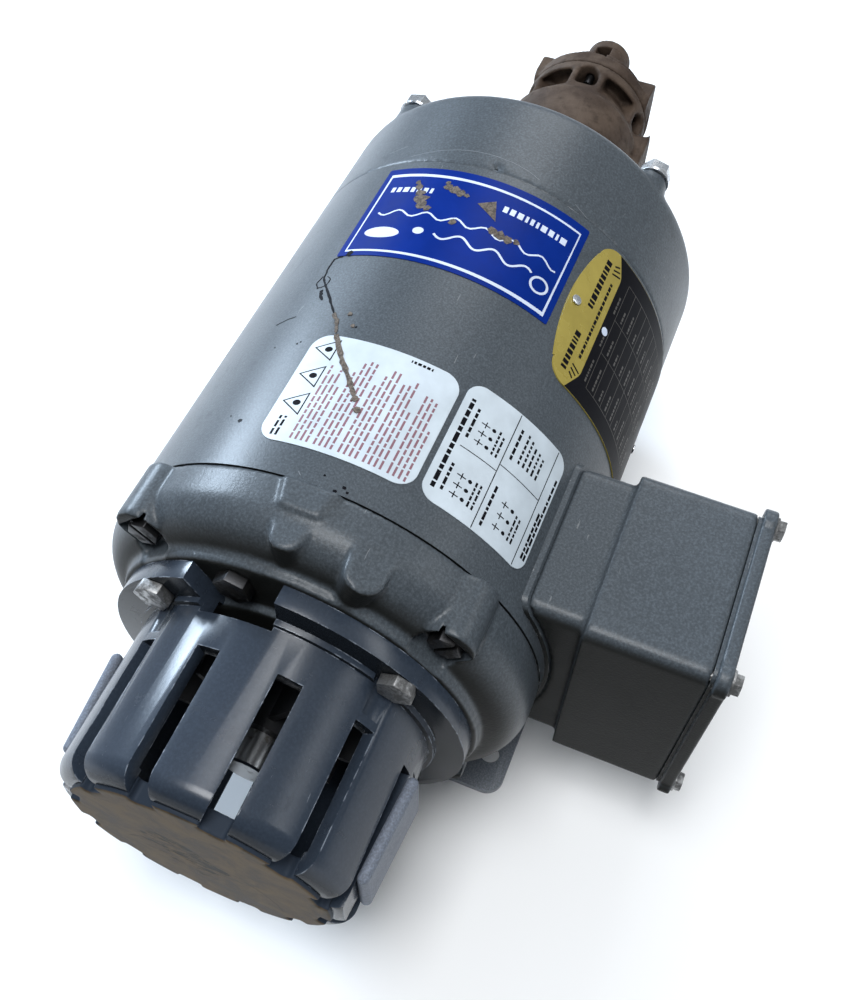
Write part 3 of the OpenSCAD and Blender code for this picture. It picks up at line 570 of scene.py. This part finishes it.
MACHINED = (
    # CAD node, piece, width of the rounding, material where it is not the node's own
    ("strainer_cage", "strainer_cage_casting", 0.7 * MM, None),
    ("cage_bolts", "cage_hex_bolts", 0.55 * MM, None),
    ("through_bolts", "through_bolt_set", 0.4 * MM, None),
    ("through_bolt_nuts", "zinc_nuts", 0.7 * MM, None),
    ("bracket_bolts", "bracket_bolt_set", 0.4 * MM, None),
    ("pump_bolts", "pump_bolt_set", 0.3 * MM, None),
    ("nameplate_rivets", "domed_rivets", 0.8 * MM, None),
    ("shaft_coupling", "steel_coupling", 0.6 * MM, None),
    ("motor_base", "pressed_foot", 1.2 * MM, FOOT_ENAMEL),
    ("face_plug_bolt", "face_plug_hex_bolt", 0.5 * MM, MATERIALS["dark_steel"]),
    ("cover_screws", "slotted_cover_screws", 0.35 * MM, MATERIALS["worn_steel"]),
)

for cad_node, piece_name, edge_width, own_material in MACHINED:
    broken_edges(cad_node, piece_name, edge_width, own_material)


# ---- printing and scars on the round shell ----


def place_of(node):
    """The middle of a label on the shell: x in metres, and the angle round the shaft in radians."""
    points = [v.co for v in NODES[node].data.vertices]
    angles = [math.atan2(point.y, point.z - AXIS_Z) for point in points]
    xs = [point.x for point in points]
    return (min(xs) + max(xs)) / 2, (min(angles) + max(angles)) / 2


class ShellPrint:
    """Thin raised shapes on the shell, drawn in millimetres.

    p runs towards the pump and q runs round the shell towards +Y.
    """

    THICKNESS = 0.05 * MM
    STRIP = 2.5

    def __init__(self, middle, lift):
        self.x, self.angle = middle
        self.lift = lift
        self.work = bmesh.new()

    def patch(self, points):
        """A convex outline."""
        self.work.faces.new([self.work.verts.new((p, q, 0.0)) for p, q in points])

    def bar(self, p0, q0, p1, q1):
        self.patch([(p0, q0), (p1, q0), (p1, q1), (p0, q1)])

    def stroke(self, points, widths, closed=False):
        """A line of the given width, or with one width for each point."""
        count = len(points)
        if not isinstance(widths, (list, tuple)):
            widths = [widths] * count
        sides = []
        for i, (p, q) in enumerate(points):
            before = points[i - 1] if i or closed else points[i]
            after = points[(i + 1) % count] if i < count - 1 or closed else points[i]
            along = Vector((after[0] - before[0], after[1] - before[1])).normalized()
            across = Vector((-along.y, along.x)) * widths[i] / 2
            if 0 < i < count - 1 or closed:
                bend = (Vector(points[i]) - Vector(before)).normalized().dot(along)
                across /= max(0.4, bend)
            sides.append([self.work.verts.new((p + s * across.x, q + s * across.y, 0.0)) for s in (1, -1)])
        for i in range(count if closed else count - 1):
            (a, b), (c, d) = sides[i], sides[(i + 1) % count]
            self.work.faces.new([a, b, d, c])

    def oval(self, p, q, half_p, half_q, sides=24):
        turns = [2 * math.pi * k / sides for k in range(sides)]
        self.patch([(p + half_p * math.cos(t), q + half_q * math.sin(t)) for t in turns])

    def ring(self, p, q, radius, width, sides=28):
        turns = [2 * math.pi * k / sides for k in range(sides)]
        self.stroke([(p + radius * math.cos(t), q + radius * math.sin(t)) for t in turns], width, closed=True)

    def blob(self, p, q, radius, rng, sides=11):
        """A ragged patch, as a fan about its middle."""
        turns = [2 * math.pi * k / sides for k in range(sides)]
        rim = []
        for t in turns:
            rim_p = p + radius * rng.uniform(0.6, 1.15) * math.cos(t)
            rim_q = q + radius * rng.uniform(0.6, 1.15) * math.sin(t)
            rim.append((rim_p, rim_q))
        for k in range(sides):
            self.patch([(p, q), rim[k], rim[(k + 1) % sides]])

    def marks_along_p(self, p0, p1, q, height, rng, longest=4.5, gap=0.9):
        """A row of plain dashes from p0 to p1, the stand-in for a line of print."""
        p = p0
        while p < p1 - 1.0:
            end = min(p1, p + rng.uniform(0.35, 1.0) * longest)
            self.bar(p, q - height / 2, end, q + height / 2)
            p = end + gap

    def marks_along_q(self, q0, q1, p, height, rng, longest=4.5, gap=0.9):
        """The same round the shell, from q0 down to q1."""
        q = q0
        while q > q1 + 1.0:
            end = max(q1, q - rng.uniform(0.35, 1.0) * longest)
            self.bar(p - height / 2, end, p + height / 2, q)
            q = end - gap

    def finish(self, name, material, thickness=None):
        """Cuts the shapes into strips, thickens them, wraps them on the shell and rides them on the motor."""
        work = self.work
        bmesh.ops.scale(work, vec=(MM, MM, MM), verts=work.verts)
        reach = max(abs(v.co.y) for v in work.verts)
        step = self.STRIP * MM
        for k in range(-int(reach / step), int(reach / step) + 1):
            everything = work.verts[:] + work.edges[:] + work.faces[:]
            cut = (0, k * step, 0)
            bmesh.ops.bisect_plane(work, geom=everything, dist=1e-7, plane_co=cut, plane_no=(0, 1, 0))
        raised = bmesh.ops.extrude_face_region(work, geom=work.faces[:])["geom"]
        for v in [item for item in raised if isinstance(item, bmesh.types.BMVert)]:
            v.co.z += self.THICKNESS if thickness is None else thickness
        bmesh.ops.recalc_face_normals(work, faces=work.faces)
        for v in work.verts:
            radius = SHELL_R + self.lift + v.co.z
            angle = self.angle + v.co.y / SHELL_R
            v.co = (self.x + v.co.x, radius * math.sin(angle), AXIS_Z + radius * math.cos(angle))
        mesh = bpy.data.meshes.new(name)
        work.to_mesh(mesh)
        work.free()
        piece = linked(name, mesh)
        dress(piece, material)
        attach(piece, "motor_body")
        return piece


# Heights above the shell at which the printing and the scars lie
ON_THE_PAINT = 0.02 * MM
LABEL_TOP = 0.31 * MM
PRINT_TOP = 0.37 * MM
PLATE_TOP = 0.61 * MM
PLATE_LINES = PLATE_TOP + 0.06 * MM
PLATE_SEAL = PLATE_TOP + 0.12 * MM


def wave(q0, q1, p, height, length, steps=44):
    """Points of a wavy line round the shell."""
    shares = [k / steps for k in range(steps + 1)]
    along = q1 - q0
    return [(p + height * math.sin(2 * math.pi * along * t / length), q0 + along * t) for t in shares]


def print_blue_label():
    rng = random.Random(11)
    art = ShellPrint(place_of("blue_label"), LABEL_TOP)
    frame_line = [(25.7, 48.6), (25.7, -48.6), (-27.6, -48.6), (-27.6, 48.6)]
    art.stroke(frame_line, 1.1, closed=True)
    art.marks_along_q(44, 22, 15, 3.4, rng, longest=3.0, gap=1.2)
    art.marks_along_q(-12, -45, 15.5, 3.8, rng, longest=3.2, gap=1.2)
    art.stroke(wave(43.5, -45.5, -1.5, 1.9, 14), 0.9)
    art.stroke(wave(11, -36, -12.0, 2.3, 16), 1.1)
    art.oval(-15.3, 35.5, 3.6, 8.8)
    art.oval(-12.0, 18.5, 2.2, 2.6)
    art.ring(-15, -41.5, 4.2, 1.2)
    art.finish("blue_label_print", WHITE_INK)


def tear_blue_label():
    rng = random.Random(23)
    art = ShellPrint(place_of("blue_label"), PRINT_TOP)
    long_tear = ((20, 32, 1.6), (17, 30, 2.4), (13, 28, 2.6), (9, 25.5, 3.6), (5, 24, 3.0), (3, 20.5, 2.2))
    top_tear = ((22, 17.5, 1.4), (19, 16, 2.6), (17.5, 12.5, 3.0), (16.5, 9, 2.4), (16, 6, 1.4))
    low_tear = ((0.5, -12, 2.4), (-0.5, -16, 3.0), (-1, -20, 2.6), (0, -24, 1.6), (-2.3, 6.1, 2.0))
    for p, q, radius in long_tear + top_tear:
        art.blob(p, q, radius, rng)
    art.patch([(13.1, -0.2), (18.0, -7.6), (6.1, -11.4)])
    for p, q, radius in low_tear:
        art.blob(p, q, radius, rng)
    art.finish("blue_label_tears", TORN_PAPER, thickness=0.12 * MM)


def print_warning_label():
    rng = random.Random(5)
    art = ShellPrint(place_of("warning_label"), LABEL_TOP)
    for p in (21, 6, -9):
        art.stroke([(p - 5.6, 21.2), (p + 5.6, 21.2), (p, 30.6)], 0.55, closed=True)
        art.oval(p, 24.4, 1.5, 1.8, sides=10)
    for q in (27.5, 25.3):
        art.marks_along_p(-26.5, -16.5, q, 1.1, rng, longest=4)
    art.marks_along_q(-10.5, -21.5, 26.6, 1.3, rng, longest=1.6, gap=0.6)
    art.finish("warning_label_signs", BLACK_INK)
    art = ShellPrint(place_of("warning_label"), LABEL_TOP)
    row = 0
    q = 18.6
    last_q = -30.5
    while q > last_q:
        end = 12 + rng.uniform(-14, 9) if row % 4 == 3 else 12 + rng.uniform(-3, 9)
        art.marks_along_p(-26.5, end - 0.12 * abs(q - 5), q, 0.95, rng, longest=5.5, gap=0.8)
        row += 1
        q -= 3.3 if row % 4 == 0 else 2.35
    art.finish("warning_label_rows", RED_INK)


def print_wiring_label():
    rng = random.Random(8)
    art = ShellPrint(place_of("wiring_label"), LABEL_TOP)
    half_line = 0.225
    for q in (3.0, -21.4):
        art.bar(-29.5, q - half_line, 29.5, q + half_line)
    art.bar(-1.0, 3.4, -0.6, 21.5)
    art.bar(2.8, -21.0, 3.2, 2.6)
    art.marks_along_p(-24, 22, 24.3, 1.9, rng, longest=5, gap=0.8)
    headings = (
        (-23, -8, 20.6), (4, 20, 20.6), (-26, -6, -0.2), (8, 24, -0.4), (-24, 0, -24.8), (-24, 18, -26.6),
    )
    for p0, p1, q in headings:
        art.marks_along_p(p0, p1, q, 1.3, rng, longest=4, gap=0.7)
    for p0 in (-22, 5):
        for p in (p0, p0 + 4.5, p0 + 9):
            art.bar(p, 13.2, p + 0.5, 17.4)
            art.bar(p - 1.3, 15.0, p + 1.8, 15.5)
            art.oval(p + 0.3, 11.2, 0.9, 1.0, sides=10)
        for q in (8.2, 6.0):
            art.marks_along_p(p0 - 1, p0 + 11, q, 1.0, rng, longest=3, gap=0.6)
    for p in (-22, -16.5, -11):
        art.bar(p, -9.0, p + 0.5, -5.0)
        art.bar(p - 1.4, -7.0, p + 1.9, -6.5)
        art.oval(p + 0.3, -11.3, 0.9, 1.0, sides=10)
    for q in (-14.4, -16.6):
        art.marks_along_p(-23, -10, q, 1.0, rng, longest=3, gap=0.6)
    for q in (-4.5, -7.2, -9.9, -12.6, -15.3):
        art.marks_along_p(9, 26 - 0.4 * abs(q), q, 1.1, rng, longest=3.4, gap=0.8)
    art.finish("wiring_label_print", BLACK_INK)


def print_nameplate():
    half_p = 42.3
    corner = 9.0
    dome_r = 130.0
    dome_q = 53.3
    dome_half_p = 33
    square_q = 48.5
    rim = 0.2
    side_rim = 0.15
    gold_q = 34.4
    shoulder_p = 31
    line_half = 0.12

    def outline(p):
        """Distance from the middle of the plate to its curved edge, at p."""
        inside = max(0.0, abs(p) - (half_p - corner))
        square = square_q - corner + math.sqrt(max(0.0, corner * corner - inside * inside))
        dome = dome_q - dome_r + math.sqrt(dome_r * dome_r - p * p) if abs(p) < dome_half_p else 0.0
        return max(square, dome)

    field = ShellPrint(place_of("nameplate"), PLATE_TOP)
    steps = 34
    edge_p = half_p - side_rim
    for k in range(steps):
        p0 = -edge_p + 2 * edge_p * k / steps
        p1 = -edge_p + 2 * edge_p * (k + 1) / steps
        top = [gold_q + 0.5 * max(0.0, abs(p) - shoulder_p) for p in (p0, p1)]
        field.patch([(p0, rim - outline(p0)), (p1, rim - outline(p1)), (p1, top[1]), (p0, top[0])])
    field.finish("nameplate_black_field", BLACK_INK)

    rng = random.Random(3)
    marks = ShellPrint(place_of("nameplate"), PLATE_TOP)
    marks.marks_along_p(-35, -11, 44.2, 3.2, rng, longest=3.2, gap=0.9)
    marks.marks_along_p(3, 35, 44.2, 3.2, rng, longest=3.2, gap=0.9)
    marks.marks_along_p(-24, 24, 38.4, 1.5, rng, longest=3.0, gap=0.7)
    for side in (-1, 1):
        for k in range(3):
            foot = side * (31.0 + 2.4 * k)
            marks.stroke([(foot, 35.4 + 1.2 * k), (foot - side * 1.8, 40.6)], 0.9)
    marks.finish("nameplate_dark_marks", BLACK_INK)

    lines = ShellPrint(place_of("nameplate"), PLATE_LINES)
    for q in (28.6, 22.2, 15.8, 9.4, 3.0, -3.4, -9.8, -16.2, -22.6, -29.0):
        lines.bar(-33, q - line_half, 33, q + line_half)
        for p0 in (-31, -9, 12):
            lines.marks_along_p(p0, p0 + rng.uniform(6, 14), q + 2.1, 1.0, rng, longest=2.6, gap=0.6)
    for p in (-33, -11, 10, 33):
        lines.bar(p - line_half, -29.0, p + line_half, 28.6)
    lines.finish("nameplate_faint_lines", FAINT_INK)

    seal = ShellPrint(place_of("nameplate"), PLATE_SEAL)
    seal.oval(-0.5, 31.6, 2.2, 2.0)
    seal.finish("nameplate_seal", WHITE_INK)


def ragged_line(art, points, width, rng, pieces=7):
    """A torn line through the points, whose width and course wander."""
    course = []
    widths = []
    stray = 0.18
    for (p0, q0), (p1, q1) in zip(points, points[1:]):
        for k in range(pieces):
            t = k / pieces
            p = p0 + (p1 - p0) * t + rng.uniform(-stray, stray)
            q = q0 + (q1 - q0) * t + rng.uniform(-stray, stray)
            course.append((p, q))
            widths.append(width * rng.uniform(0.65, 1.25))
    course.append(points[-1])
    widths.append(width * 0.4)
    art.stroke(course, widths)


def scar_the_shell():
    """A long torn gouge from the blue label down over the warning label, with loose curls and dark pits."""
    rng = random.Random(42)
    middle = place_of("warning_label")
    art = ShellPrint(middle, PRINT_TOP)
    ragged_line(art, [(29.6, 25.1), (18, 17.4), (9.9, 10.6), (0.2, 3.2)], 2.3, rng)
    art.blob(-0.6, 2.6, 1.7, rng)
    art.blob(-5.2, -0.4, 1.9, rng)
    art.finish("gouge_over_label", TORN_PAPER, thickness=0.35 * MM)

    art = ShellPrint(middle, ON_THE_PAINT)
    ragged_line(art, [(41.7, 32.4), (37.5, 28.6), (30.6, 25.9)], 1.7, rng)
    art.blob(36.0, 20.4, 1.2, rng)
    art.blob(42.3, 24.6, 1.3, rng)
    art.finish("gouge_on_shell", TORN_PAPER, thickness=0.3 * MM)

    art = ShellPrint(middle, ON_THE_PAINT)
    long_crack = [
        (79, 46.6), (77.5, 50.7), (71.3, 51.2), (64, 49.5), (59.5, 46.0), (50.8, 39.2), (41.7, 32.4),
    ]
    loose_curl = [(66, 51.0), (61.8, 52.4), (57.8, 49.8), (59.5, 45.6), (63.6, 45.4), (65.6, 48.4)]
    broad_crack = [(56.5, 46.8), (52.6, 45.0), (49.8, 42.6)]
    side_scratch = [(36.2, 61.7), (38.4, 57.0), (40.2, 51.9)]
    ragged_line(art, long_crack, 1.1, rng, pieces=5)
    ragged_line(art, loose_curl, 0.6, rng, pieces=4)
    ragged_line(art, broad_crack, 1.5, rng, pieces=4)
    ragged_line(art, side_scratch, 0.5, rng, pieces=3)
    for p, q, radius in (
        (-21.1, 45.8, 1.2), (-18.4, 52.6, 0.5), (21.1, 52.6, 0.5), (23, 41.5, 0.5), (35.7, 18.6, 0.6),
        (-40, -11, 0.9), (-41.5, -13, 0.7), (-43, -8.5, 1.1), (-38, -2, 0.6), (24, 40, 0.5),
    ):
        art.blob(p, q, radius, rng, sides=8)
    art.finish("dark_pits", BLACK_INK, thickness=0.1 * MM)

    hole = ShellPrint(middle, PRINT_TOP)
    hole.blob(80.4, 43.6, 1.9, rng)
    hole.finish("hole_in_label", BLACK_INK, thickness=0.06 * MM)

    art = ShellPrint(middle, ON_THE_PAINT)
    for points in (
        [
            (151, 44), (153, 37), (155, 29), (156.3, 20), (157, 11),
            (156.8, 2), (156, -7), (154.5, -15), (152, -22),
        ],
        [(158, 60), (160.5, 50)],
        [(150, -42), (147, -50)],
        [(-36, 34), (-38.5, 31)],
        [(-40, 8), (-41.5, 6.5)],
    ):
        art.stroke(points, 0.25)
    art.finish("long_scratches", PALE_SCRATCH, thickness=0.03 * MM)


print_blue_label()
tear_blue_label()
print_warning_label()
print_wiring_label()
print_nameplate()
scar_the_shell()


# ---- studio ----


CAMERA_PLACE = (-0.27424, -0.12427, 0.56101)
CAMERA_RIGHT = (0.37961, -0.92501, 0.01606)
CAMERA_UP = (0.77221, 0.32637, 0.54514)
CAMERA_BACK = (-0.50950, -0.19454, 0.83819)
LENS = 39.9
SENSOR_WIDTH = 36.0
NEAREST = 0.01

FLOOR_HALF_SIZE = 6.0
FLOOR_GAP = 0.2 * MM

ROOM_BRIGHT_SIDE = (0.80, 0.45, 0.40)
ROOM_DARKEST = 0.07
ROOM_BRIGHTEST = 0.42
ROOM_COLOUR = (0.86, 0.93, 1.0, 1.0)

SOFTBOXES = (
    # name, azimuth, elevation, distance, width and height, power, colour
    ("window", 69, 23, 1.6, (0.46, 0.36), 25, (0.68, 0.83, 1.0)),
    ("side_window", 49, 25, 1.6, (0.34, 0.30), 2.5, (0.68, 0.83, 1.0)),
    ("sky_panel", 180, 76, 1.9, (0.8, 0.9), 30, (0.97, 0.985, 1.0)),
    ("pump_end_panel", 4, 40, 2.0, (0.8, 0.8), 10, (0.96, 0.98, 1.0)),
    ("small_panel", -72, 39, 1.8, (0.9, 0.42), 5, (0.93, 0.97, 1.0)),
)


def add_camera():
    camera = linked("camera", bpy.data.cameras.new("camera"))
    camera.data.lens = LENS
    camera.data.sensor_width = SENSOR_WIDTH
    camera.data.clip_start = NEAREST
    turn = Matrix((CAMERA_RIGHT, CAMERA_UP, CAMERA_BACK)).transposed().to_4x4()
    camera.matrix_world = Matrix.Translation(CAMERA_PLACE) @ turn
    bpy.context.scene.camera = camera


def add_floor():
    p = Paintbox("floor", Roughness=0.75)
    p.colour(p.blend(p.noise(0.3, detail=2), (0.93, 0.93, 0.93), (0.96, 0.96, 0.96)))
    work = bmesh.new()
    bmesh.ops.create_grid(work, x_segments=1, y_segments=1, size=FLOOR_HALF_SIZE)
    mesh = bpy.data.meshes.new("floor")
    work.to_mesh(mesh)
    work.free()
    floor = linked("floor", mesh)
    dress(floor, p.material)
    floor.location.z = CAD_LOW.z - FLOOR_GAP


def add_softbox(name, azimuth, elevation, distance, size, power, colour):
    """A soft light that looks at the middle of the object. Azimuth 0 is towards +X and 90 towards +Y."""
    target = (CAD_LOW + CAD_HIGH) / 2
    a = math.radians(azimuth)
    e = math.radians(elevation)
    away = Vector((math.cos(a) * math.cos(e), math.sin(a) * math.cos(e), math.sin(e)))
    lamp = bpy.data.lights.new(name, "AREA")
    lamp.shape = "RECTANGLE"
    lamp.size, lamp.size_y = size
    lamp.energy = power
    lamp.color = colour
    holder = linked(name, lamp)
    holder.location = target + away * distance
    holder.rotation_euler = away.to_track_quat("Z", "Y").to_euler()


def add_world():
    """A dim room, brighter towards the pump end and the window side."""
    world = bpy.data.worlds.new("studio")
    world.use_nodes = True
    nodes = world.node_tree.nodes
    links = world.node_tree.links
    direction = nodes.new("ShaderNodeTexCoord").outputs["Generated"]
    towards = nodes.new("ShaderNodeVectorMath")
    towards.operation = "DOT_PRODUCT"
    towards.inputs[1].default_value = ROOM_BRIGHT_SIDE
    links.new(direction, towards.inputs[0])
    level = nodes.new("ShaderNodeMapRange")
    level.interpolation_type = "SMOOTHSTEP"
    level.inputs["From Min"].default_value = -0.5
    level.inputs["From Max"].default_value = 0.8
    level.inputs["To Min"].default_value = ROOM_DARKEST
    level.inputs["To Max"].default_value = ROOM_BRIGHTEST
    links.new(towards.outputs["Value"], level.inputs["Value"])
    nodes["Background"].inputs["Color"].default_value = ROOM_COLOUR
    links.new(level.outputs["Result"], nodes["Background"].inputs["Strength"])
    bpy.context.scene.world = world


add_camera()
add_floor()
add_world()
for settings in SOFTBOXES:
    add_softbox(*settings)
bpy.context.scene.view_settings.view_transform = "Standard"
